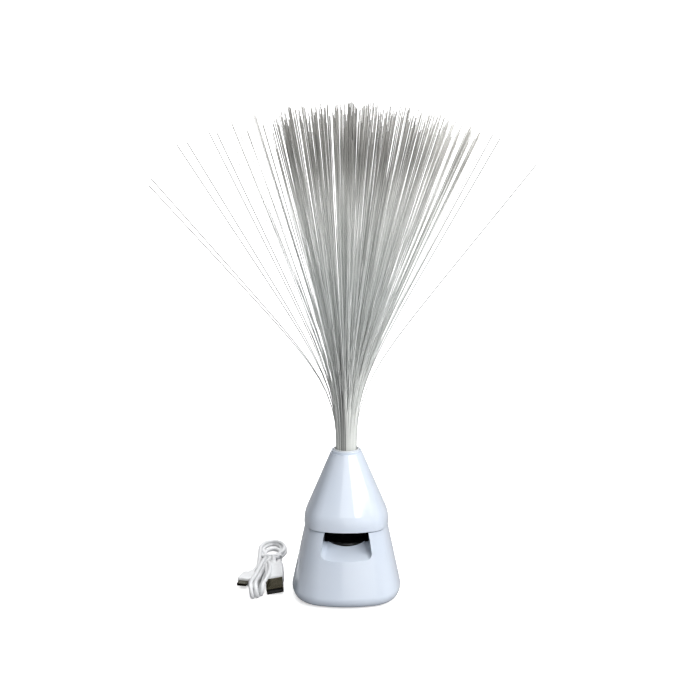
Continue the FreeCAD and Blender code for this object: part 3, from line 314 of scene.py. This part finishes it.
def wall_panel(quarter):
    """A thin curved panel that stands on the wall's outer face on one side of the shell."""
    out, aside = quarter_axes(quarter)
    top_line, foot_line = bowed_side(*outline_top), bowed_side(*outline_foot)
    points, faces = [], []
    for depth in (panel_front, panel_back):
        for row in range(panel_rows + 1):
            height = wall_low + (wall_top - wall_low) * row / panel_rows
            share = (height - shell_foot) / (wall_top - shell_foot)
            for (top_out, top_aside), (foot_out, foot_aside) in zip(top_line, foot_line):
                away = foot_out + (top_out - foot_out) * share
                along = foot_aside + (top_aside - foot_aside) * share
                spot = out * (away + depth) + aside * along
                points.append(Vector((spot.x, spot.y, height)))
    count = len(top_line)
    layer = count * (panel_rows + 1)
    for row in range(panel_rows):
        for k in range(count - 1):
            low = row * count + k
            faces.append((low, low + 1, low + count + 1, low + count))
            faces.append((layer + low, layer + low + count, layer + low + count + 1,
                          layer + low + 1))
    rim = list(range(count)) + [row * count + count - 1 for row in range(1, panel_rows + 1)]
    rim += [panel_rows * count + k for k in reversed(range(count - 1))]
    rim += [row * count for row in reversed(range(1, panel_rows))]
    for low, high in zip(rim, rim[1:] + rim[:1]):
        faces.append((high, low, layer + low, layer + high))
    return points, faces


def wall_block(quarter):
    """The wall's thickness behind a panel. It rests on the scoop's ramp, and keeps out of the
    front scoop."""
    out, aside = quarter_axes(quarter)
    points, faces = [], []
    for step in range(block_steps + 1):
        share = 2 * step / block_steps - 1
        well = math.sqrt(well_radius ** 2 - (block_half * share) ** 2)
        places = []
        for height in (ramp_height - ramp_slope * (well - ramp_start), wall_top):
            along = aside * (block_half * share)
            away = well
            if along.y < front_scoop_near:
                away = max(away, front_scoop_half + scoop_draft * (rim_height - height))
            places.append((out * away + along, height))
        for height in (wall_top, block_floor):
            half = scoop_half + scoop_draft * (rim_height - height)
            away = foot_half - wall_lean * (height - shell_foot)
            away -= (half * share) ** 2 / wall_bow + block_inset
            places.append((out * away + aside * (half * share), height))
        points += [Vector((spot.x, spot.y, height)) for spot, height in places]
    for step in range(block_steps):
        for k in range(4):
            low, next_low = 4 * step + k, 4 * step + (k + 1) % 4
            faces.append((low, next_low, next_low + 4, low + 4))
    faces.append((3, 2, 1, 0))
    faces.append(tuple(4 * block_steps + k for k in range(4)))
    return points, faces


# Blocks take the lower shell's finish; their faces in the speaker's well get its painted shade.
for side, quarter in (("right", 0), ("rear", 1), ("left", 2)):
    for part, form, finish in (("panel", wall_panel, "upper_housing"),
                               ("block", wall_block, "lower_housing")):
        wall = add_mesh(f"lower_wall_{part}_{side}", *form(quarter))
        wall.data.materials.append(nodes[finish].data.materials[0])
        wall.data.set_sharp_from_angle(angle=math.radians(40))
        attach(wall, "housing")


# ---------------------------------------------------------------- inner mouldings
# The floor plate between the shells, the black bottom cover screwed on under the lamp, and its
# four glued rubber feet. The hidden mouldings keep the fine spark grain of their moulds.
cover_edge = 0.0003


def grained(name, colour, shade, scale, roughness, swing, bump=0.15, metallic=0.0,
            stretch=(1, 1, 1)):
    """A finish whose colour, gloss and fine relief all vary with the grain of the material."""
    material, tree, shader = new_material(name)
    tone = blend_colour(tree, cloudy(tree, scale, 0, 1, stretch), colour, shade)
    tree.links.new(tone, shader.inputs["Base Color"])
    tree.links.new(cloudy(tree, 0.6 * scale, roughness - swing, roughness + swing),
                   shader.inputs["Roughness"])
    raise_surface(tree, shader, cloudy(tree, 4 * scale, 0, 1, stretch), bump, 0.0001)
    shader.inputs["Metallic"].default_value = metallic
    return material


finish_nodes(grained("inner_plate", (0.03, 0.03, 0.032), (0.045, 0.045, 0.05), 300, 0.55, 0.06),
             "upper_floor")
finish_nodes(grained("spark_grained_cover", (0.022, 0.022, 0.024), (0.035, 0.035, 0.038),
                     700, 0.6, 0.08, 0.35), "bottom_cover")
finish_nodes(grained("foot_rubber", (0.03, 0.03, 0.03), (0.06, 0.058, 0.055),
                     900, 0.8, 0.08, 0.4), "rubber_feet")
soften_edges(cover_edge, "bottom_cover", "rubber_feet")


# ---------------------------------------------------------------- screws
# Small pan-head steel screws, zinc plated. Driven into moulded bosses, they hold the shells
# together, the cover on the base, and the boards inside it.
finish_nodes(grained("zinc_plated_screw", (0.55, 0.55, 0.53), (0.42, 0.42, 0.40),
                     1500, 0.32, 0.08, 0.2, metallic=1.0),
             "housing_screws", "cover_screws", "board_screws")


# ---------------------------------------------------------------- speaker
# A 34 mm driver in the well: a pressed black frame on a foam gasket, a rolled rubber surround, a
# black paper cone with pressed rings and a glossy dust cap, and the coil and magnet below.
unit_wave = 0.314


def waves(tree, scale, distortion, **form):
    """Regular waves on the piece's own coordinates, as rings or bands. At a scale of 1 they are
    unit_wave metres apart."""
    place = tree.nodes.new("ShaderNodeTexCoord")
    wave = tree.nodes.new("ShaderNodeTexWave")
    for setting, value in form.items():
        setattr(wave, setting, value)
    wave.inputs["Scale"].default_value = scale
    wave.inputs["Distortion"].default_value = distortion
    tree.links.new(place.outputs["Object"], wave.inputs["Vector"])
    return wave.outputs["Fac"]


def ringed(name, colour, shade, pitch, roughness, relief, coat=0.0):
    """A black finish with fine rings round the lamp's axis, a pitch apart in metres."""
    material, tree, shader = new_material(name)
    rings = waves(tree, unit_wave / pitch, 0.0, wave_type="RINGS", rings_direction="Z")
    tone = blend_colour(tree, cloudy(tree, 500, 0, 1), colour, shade)
    tree.links.new(tone, shader.inputs["Base Color"])
    tree.links.new(cloudy(tree, 300, roughness - 0.05, roughness + 0.05),
                   shader.inputs["Roughness"])
    raise_surface(tree, shader, rings, relief, 0.0002)
    shader.inputs["Coat Weight"].default_value = coat
    return material


def wound_copper(name):
    """Enamelled copper wire in close turns round the coil's former."""
    material, tree, shader = new_material(name)
    windings = waves(tree, 1600.0, 0.2, bands_direction="Z")
    tree.links.new(blend_colour(tree, windings, (0.45, 0.17, 0.06), (0.75, 0.36, 0.17)),
                   shader.inputs["Base Color"])
    raise_surface(tree, shader, windings, 0.5, 0.0001)
    shader.inputs["Metallic"].default_value = 1.0
    shader.inputs["Roughness"].default_value = 0.35
    return material


finish_nodes(ringed("cone_paper", (0.010, 0.010, 0.011), (0.018, 0.018, 0.019),
                    0.0016, 0.5, 0.5), "speaker_cone")
finish_nodes(ringed("surround_rubber", (0.008, 0.008, 0.008), (0.014, 0.014, 0.014),
                    0.0009, 0.34, 0.12), "speaker_surround")
finish_nodes(ringed("dust_cap_gloss", (0.008, 0.008, 0.009), (0.012, 0.012, 0.013),
                    0.0011, 0.2, 0.05, coat=0.6), "dust_cap")
finish_nodes(grained("frame_enamel", (0.010, 0.010, 0.010), (0.02, 0.02, 0.02),
                     800, 0.4, 0.08, 0.15), "speaker_frame")
finish_nodes(grained("gasket_foam", (0.012, 0.012, 0.012), (0.03, 0.03, 0.03),
                     1800, 0.9, 0.05, 0.6), "speaker_gasket")
finish_nodes(grained("pressed_ferrite", (0.045, 0.043, 0.042), (0.075, 0.07, 0.068),
                     900, 0.7, 0.1, 0.3), "speaker_magnet")
finish_nodes(grained("plated_steel", (0.5, 0.5, 0.5), (0.38, 0.39, 0.4),
                     700, 0.35, 0.1, 0.15, metallic=1.0), "speaker_top_plate", "speaker_yoke")
finish_nodes(wound_copper("wound_copper"), "voice_coil")


# ---------------------------------------------------------------- boards and battery
# Fibreglass boards with green solder mask over copper tracks, small black parts soldered on, and
# a flat lithium cell in a blue shrink wrap. They are screwed and taped inside the base.
def solder_mask(name):
    """Green mask that is lighter where a copper track runs under it."""
    material, tree, shader = new_material(name)
    place = tree.nodes.new("ShaderNodeTexCoord")
    tracks = tree.nodes.new("ShaderNodeTexBrick")
    tracks.inputs["Scale"].default_value = 160.0
    tracks.inputs["Mortar Size"].default_value = 0.05
    tracks.inputs["Color1"].default_value = (0, 0, 0, 1)
    tracks.inputs["Color2"].default_value = (0.25, 0.25, 0.25, 1)
    tracks.inputs["Mortar"].default_value = (1, 1, 1, 1)
    tree.links.new(place.outputs["Object"], tracks.inputs["Vector"])
    tree.links.new(blend_colour(tree, tracks.outputs["Color"], (0.006, 0.075, 0.028),
                                (0.02, 0.17, 0.06)), shader.inputs["Base Color"])
    tree.links.new(cloudy(tree, 400, 0.2, 0.32), shader.inputs["Roughness"])
    raise_surface(tree, shader, tracks.outputs["Fac"], 0.2, 0.00005)
    return material


finish_nodes(solder_mask("green_solder_mask"), "main_board", "control_board", "led_board")
finish_nodes(grained("chip_epoxy", (0.015, 0.015, 0.016), (0.03, 0.03, 0.03),
                     1500, 0.5, 0.08, 0.2), "board_components", "button_switches")
finish_nodes(grained("shrink_wrap", (0.03, 0.10, 0.32), (0.045, 0.14, 0.40),
                     250, 0.28, 0.08, 0.3, stretch=(1, 0.2, 1)), "battery")
finish_nodes(grained("socket_steel", (0.55, 0.55, 0.54), (0.44, 0.44, 0.43),
                     1200, 0.28, 0.06, 0.1, metallic=1.0), "charging_socket")


# ---------------------------------------------------------------- light
# A white light-emitting chip under yellow phosphor on its own small board, held up against the
# fibres' lower ends by a moulded cap that is screwed under the socket.
finish_nodes(grained("phosphor", (0.82, 0.62, 0.10), (0.9, 0.72, 0.2), 1500, 0.4, 0.05, 0.3),
             "led_chip")
finish_nodes(grained("cap_plastic", (0.72, 0.74, 0.76), (0.62, 0.64, 0.66), 400, 0.45, 0.06),
             "led_cap")


# ---------------------------------------------------------------- fibre holder
# The white plastic ferrule that plugs into the socket, and the clear resin that the fibres' lower
# ends are potted in before they are cut and polished flat.
finish_nodes(grained("ferrule_plastic", (0.74, 0.77, 0.8), (0.68, 0.71, 0.74), 300, 0.35, 0.06),
             "bundle_ferrule")
finish_nodes(grained("potting_resin", (0.72, 0.7, 0.62), (0.62, 0.6, 0.5), 500, 0.2, 0.06),
             "fibre_potting")


# ---------------------------------------------------------------- fibres
# Some six hundred clear acrylic fibres, half a millimetre thick, that rise together through the
# ferrule, lean outwards under their own weight and are cut at unequal heights.
fibre_thickness, stray_thickness = 0.00049, 1.25 * 0.00049
fibre_places, bundle_radius, golden_turn = 690, 0.0071, math.radians(137.508)
fibre_start, fan_height = 0.0975, 0.1087
longest_fibre, uneven_cut = 0.2395, 0.013
widest_lean, lean_power, lean_spread = math.radians(25.0), 1.1, 1.5
turn_spread, right_tilt = 0.25, 0.028
bend_share, bend_power, bend_parts = 0.195, 1.6, 4
fibre_steps = (0, 0.04, 0.08, 0.12, 0.17, 0.22, 0.28, 0.35, 0.44, 0.56, 0.70, 0.79, 0.85, 0.9, 1.0)
fibre_sides, off_line = 5, Vector((0.31, 0.95, 0.02))
fibre_bands = (("core", 0.5), ("inner", 0.67), ("middle", 0.83), ("outer", 1.0))
tone_mean, tone_spread, darkest_tone, palest_tone = 0.86, 0.24, 0.12, 0.97
out_of_bundle, upper_fade, tip_fade, tip_loss = (0.1, 0.45), (0.76, 0.9), (0.86, 0.97), 0.45
left_thinned, left_paled = (0.19, 0.27), (0.17, 0.25)
shaded_side, tips_spread = (-0.45, 0.25), (0.2, 0.34)
strays = ((-1, 0.05, 42.5, 0.228), (-1, -0.12, 40.4, 0.231), (-1, 0.1, 33.4, 0.240),
          (-1, -0.2, 30.6, 0.239), (-1, 0.25, 27.5, 0.239), (-1, -0.5, 26.0, 0.239),
          (1, 0.03, 38.6, 0.236), (1, -0.3, 29.6, 0.240), (1, 0.15, 28.6, 0.239))
stray_root_tone, stray_tone = 0.6, 0.0
fibre_luck = random.Random(23)


def fibre_line(root, direction, lean, length):
    """The fibre's middle line: straight through the ferrule, then leaning more and more until it
    runs on straight. lean is its final angle from the vertical, in radians."""
    out = Vector((math.cos(direction), math.sin(direction), 0))
    at = Vector((root[0], root[1], fan_height))
    line = [Vector((root[0], root[1], fibre_start)), at.copy()]
    for low, high in zip(fibre_steps, fibre_steps[1:]):
        for part in range(bend_parts):
            share = low + (high - low) * (part + 0.5) / bend_parts
            angle = lean * (1 - math.exp(-((share / bend_share) ** bend_power)))
            run = length * (high - low) / bend_parts
            at = at + (out * math.sin(angle) + Vector((0, 0, math.cos(angle)))) * run
        line.append(at.copy())
    return line


def eased(value, low, high):
    """0 below low, 1 above high, and smooth between them."""
    share = min(max((value - low) / (high - low), 0.0), 1.0)
    return share * share * (3 - 2 * share)


class FibreBundle:
    """Fibres gathered into one mesh, with each point's tone, painted light and shade near the
    root, and place along its fibre.
    """

    def __init__(self):
        self.points, self.faces, self.tones, self.places = [], [], [], []

    def add(self, line, thickness, root_light_and_shade, tone, tip_shade):
        """One fibre, from the painted light and shade at its root to its own tone, darker near the
        tip.
        """
        first, last = len(self.points), len(line) - 1
        lengths = [0.0]
        for low, high in zip(line, line[1:]):
            lengths.append(lengths[-1] + (high - low).length)
        for k, here in enumerate(line):
            ahead = (line[min(k + 1, last)] - line[max(k - 1, 0)]).normalized()
            across = ahead.cross(off_line).normalized()
            aside = ahead.cross(across)
            place = lengths[k] / lengths[-1]
            # Low on the fibre, the tone starts from the painted light and shade given to its root.
            shown = root_light_and_shade + (tone - root_light_and_shade) * eased(place, *out_of_bundle)
            shown *= 1 - tip_shade * eased(place, *upper_fade)
            shown *= 1 - tip_loss * eased(place, *tip_fade)
            for side in range(fibre_sides):
                turn = 2 * math.pi * side / fibre_sides
                spoke = across * math.cos(turn) + aside * math.sin(turn)
                self.points.append(here + spoke * thickness / 2)
                self.tones.append(shown)
                self.places.append(place)
        for k in range(last):
            ring = first + k * fibre_sides
            for side in range(fibre_sides):
                low, next_low = ring + side, ring + (side + 1) % fibre_sides
                self.faces.append((low, next_low, next_low + fibre_sides, low + fibre_sides))
        tip = first + last * fibre_sides
        self.faces.append(tuple(first + side for side in reversed(range(fibre_sides))))
        self.faces.append(tuple(tip + side for side in range(fibre_sides)))

    def build(self, name):
        """The mesh object of all the fibres in the bundle."""
        piece = add_mesh(name, self.points, self.faces)
        for label, values in (("fibre_tone_and_shade", self.tones), ("fibre_place", self.places)):
            attribute = piece.data.attributes.new(label, "FLOAT", "POINT")
            attribute.data.foreach_set("value", values)
        return piece


def stored(tree, attribute):
    """A value stored on the fibres' points."""
    node = tree.nodes.new("ShaderNodeAttribute")
    node.attribute_name = attribute
    return node.outputs["Fac"]


fibre_finish, tree, shader = new_material("clear_acrylic_fibre")
tint = tree.nodes.new("ShaderNodeValToRGB")
tint.color_ramp.elements[0].color = (0.98, 1.0, 0.965, 1)
tint.color_ramp.elements[1].color = (1.0, 0.985, 0.93, 1)
tint.color_ramp.elements.new(0.5).color = (0.97, 1.0, 0.98, 1)
tint.color_ramp.elements.new(0.78).color = (0.99, 1.0, 0.97, 1)
tree.links.new(stored(tree, "fibre_place"), tint.inputs["Fac"])
# The stored tone carries the painted light and shade low on each fibre.
strand_tone_and_shade = blend_colour(tree, stored(tree, "fibre_tone_and_shade"), (0.10, 0.10, 0.097), (1.0, 1.0, 1.0))
tree.links.new(blend_colour(tree, 1.0, strand_tone_and_shade, tint.outputs["Color"], "MULTIPLY"),
               shader.inputs["Base Color"])
tree.links.new(cloudy(tree, 120, 0.16, 0.3, (1, 1, 0.1)), shader.inputs["Roughness"])
shader.inputs["IOR"].default_value = 1.49

bundles = {name: FibreBundle() for name in ("core", "inner", "middle", "outer", "strays")}
for number in range(fibre_places):
    share = math.sqrt((number + 0.5) / fibre_places)
    spin = number * golden_turn
    root = (bundle_radius * share * math.cos(spin), bundle_radius * share * math.sin(spin))
    direction = spin + fibre_luck.gauss(0, turn_spread)
    lean = widest_lean * share ** lean_power + math.radians(fibre_luck.gauss(0, lean_spread))
    tilt = Vector((lean * math.cos(direction) + right_tilt, lean * math.sin(direction)))
    direction, lean = math.atan2(tilt.y, tilt.x), tilt.length
    length = longest_fibre - uneven_cut * fibre_luck.random() ** 2
    tone = min(max(fibre_luck.gauss(tone_mean, tone_spread), darkest_tone), 1.0)
    reach = math.cos(direction) * math.sin(lean)
    # Fewer and paler fibres stand far out on the left; the bundle's left side has painted shade.
    if fibre_luck.random() > 1 - 0.75 * eased(-reach, *left_thinned):
        continue
    tone += (palest_tone - tone) * 0.8 * eased(-reach, *left_paled)
    in_painted_shade = fibre_luck.random() > eased(root[0] / bundle_radius, *shaded_side)
    # Root tone: painted shade on the left side, and a near-white painted light on the other
    # fibres.
    root_light_and_shade = 0.18 + 0.42 * fibre_luck.random() if in_painted_shade and reach > -0.2 else 1.0
    tip_shade = 0.66 - 0.44 * eased(abs(reach), *tips_spread)
    tip_shade *= 0.65 + 0.6 * fibre_luck.random()
    band = next(name for name, edge in fibre_bands if share < edge)
    bundles[band].add(fibre_line(root, direction, lean, length), fibre_thickness, root_light_and_shade, tone,
                      tip_shade)
for side, depth, lean, length in strays:
    direction = math.atan2(depth, side)
    root = (bundle_radius * math.cos(direction), bundle_radius * math.sin(direction))
    line = fibre_line(root, direction, math.radians(lean), length)
    bundles["strays"].add(line, stray_thickness, stray_root_tone, stray_tone, 0.0)
for band, bundle in bundles.items():
    fibres = bundle.build(f"fibres_{band}")
    fibres.data.materials.append(fibre_finish)
    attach(fibres, "spray")
    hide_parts(f"fibre_{band}")


# ---------------------------------------------------------------- charging lead
# A thin white lead with a PVC jacket, wound over the hand into a flat hank and tied at its waist.
# The turns lean on each other: tight narrow folds in front, open loops of unequal size behind.
# The route's places are in millimetres.
cord_diameter = 0.0030
tie_place = 58.0
lane_low, lane_high = 2.5, 5.5
resting, fold_radius, plug_fold_radius = 1.6, 4.2, 4.1
loop_start, loop_sweep, loop_points = -50, 280, 10
jacket_white, jacket_pale = (0.80, 0.81, 0.82), (0.86, 0.87, 0.88)
usb_tail = [(-53.39, 26.21, 12.54), (-53.83, 32.47, 14.22), (-54.8, 41.5, 11.2),
            (-53.6, 50.5, 7.0)]
micro_tail = [(-66.2, 56.0, 1.7), (-66.5, 46.0, 2.2), (-68.2, 35.8, 3.3), (-69.95, 28.76, 3.3)]
down_to_the_fold = [(-56.6, 44.0, 4.3), (-59.2, 26.0, 4.6), (-60.9, 10.0, 3.6),
                    (-61.4, 0.0, 2.0)]
over_the_plug = [(-57.4, -1.2, 10.2), (-55.8, 5.0, 11.8), (-55.3, 14.0, 13.7),
                 (-57.3, 24.0, 13.6), (-57.6, 34.0, 10.0), (-56.0, 46.0, 6.6)]


def at_the_tie(x, height):
    """The strand's place under the tie."""
    return [(x, tie_place, height)]


def rear_loop(middle_x, middle_y, half_width, half_length, height, way):
    """An open loop behind the tie, run from its right to its left, or back where way is -1."""
    points = []
    for step in range(loop_points):
        turn = math.radians(loop_start + loop_sweep * step / (loop_points - 1))
        points.append((middle_x + way * half_width * math.cos(turn),
                       middle_y + half_length * math.sin(turn), height))
    return points


def hairpin(first_x, last_x, front, radius, falling=True):
    """A narrow upright fold at the hank's front end, over the top and back underneath, or the
    other way up. The curve cuts the corners of its route, so they stand outside the fold."""
    middle = resting + radius
    rise = radius if falling else -radius
    ends, bulge = front + 1.414 * radius, 1.082
    points = [(first_x, ends, middle + rise)]
    for share, turn in ((0.15, 67.5), (0.38, 22.5), (0.62, -22.5), (0.85, -67.5)):
        turn = math.radians(turn)
        points.append((first_x + share * (last_x - first_x),
                       front + radius - bulge * radius * math.cos(turn),
                       middle + bulge * rise * math.sin(turn)))
    points.append((last_x, ends, middle - rise))
    return points


def front_fold(lane, high_x, low_x, front):
    """One strand from the tie to the front, over its own narrow fold, and back underneath."""
    points = []
    for share, y, z in ((0.37, 44, 6.2), (0.66, 26, 5.6), (0.91, 10, 6.4), (1.0, -3, 9.0)):
        points.append((lane + share * (high_x - lane), y, z))
    points += hairpin(high_x, low_x, front, fold_radius)
    for share, y, z in ((1.0, -3, resting), (0.88, 8, resting), (0.42, 26, resting),
                        (0.16, 44, 2.0)):
        points.append((lane + share * (low_x - lane), y, z))
    return points


route = usb_tail + at_the_tie(-51.4, lane_high)
route += rear_loop(-57.2, 84.5, 10.2, 19.5, 1.6, 1) + at_the_tie(-60.6, lane_high)
route += front_fold(-60.6, -68.2, -66.1, -18.6) + at_the_tie(-60.6, lane_low)
route += rear_loop(-57.6, 84.0, 7.6, 13.6, 2.2, -1) + at_the_tie(-57.5, lane_high)
route += front_fold(-57.5, -64.8, -62.9, -16.8) + at_the_tie(-57.5, lane_low)
route += rear_loop(-57.0, 78.4, 6.0, 9.2, 1.8, -1) + at_the_tie(-54.4, lane_low)
route += down_to_the_fold + hairpin(-61.2, -58.8, -13.4, plug_fold_radius, falling=False)
route += over_the_plug + at_the_tie(-54.4, lane_high)
route += rear_loop(-57.4, 81.0, 9.6, 17.0, 4.8, 1)[:-1] + micro_tail

cord_curve = bpy.data.curves.new("charging_cord", "CURVE")
cord_curve.dimensions = "3D"
spline = cord_curve.splines.new("NURBS")
spline.points.add(len(route) - 1)
for point, (x, y, z) in zip(spline.points, route):
    point.co = (x / 1000, y / 1000, z / 1000, 1)
spline.order_u = 3
spline.use_endpoint_u = True
spline.resolution_u = 8
cord_curve.bevel_depth = cord_diameter / 2
cord_curve.bevel_resolution = 4
cord = bpy.data.objects.new("charging_cord", cord_curve)
scene.collection.objects.link(cord)
cord_curve.materials.append(grained("cord_jacket", jacket_white, jacket_pale,
                                    250, 0.36, 0.06, 0.1))
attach(cord, "housing")
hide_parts("cable_hank", "cable_tail_usb", "cable_tail_micro")


# ---------------------------------------------------------------- plugs
# Folded steel plug shells, dark olive brown as a painted reflection of dark things, a black
# insert with the contacts, and soft white PVC grips moulded over their rear ends and the cord.
# The shells' dark olive brown is a painted reflection, not the metal's own colour.
finish_nodes(grained("plug_shell_painted_reflection", (0.15, 0.135, 0.09), (0.09, 0.08, 0.05),
                     180, 0.24, 0.06, 0.05, metallic=1.0), "usb_plug_shell", "micro_plug_shell")
finish_nodes(grained("contact_insert", (0.02, 0.02, 0.02), (0.035, 0.035, 0.035),
                     900, 0.5, 0.06), "usb_plug_insert")
finish_nodes(grained("grip_white", jacket_white, jacket_pale, 250, 0.4, 0.06, 0.1),
             "usb_plug_grip", "micro_plug_grip", "cable_tie")
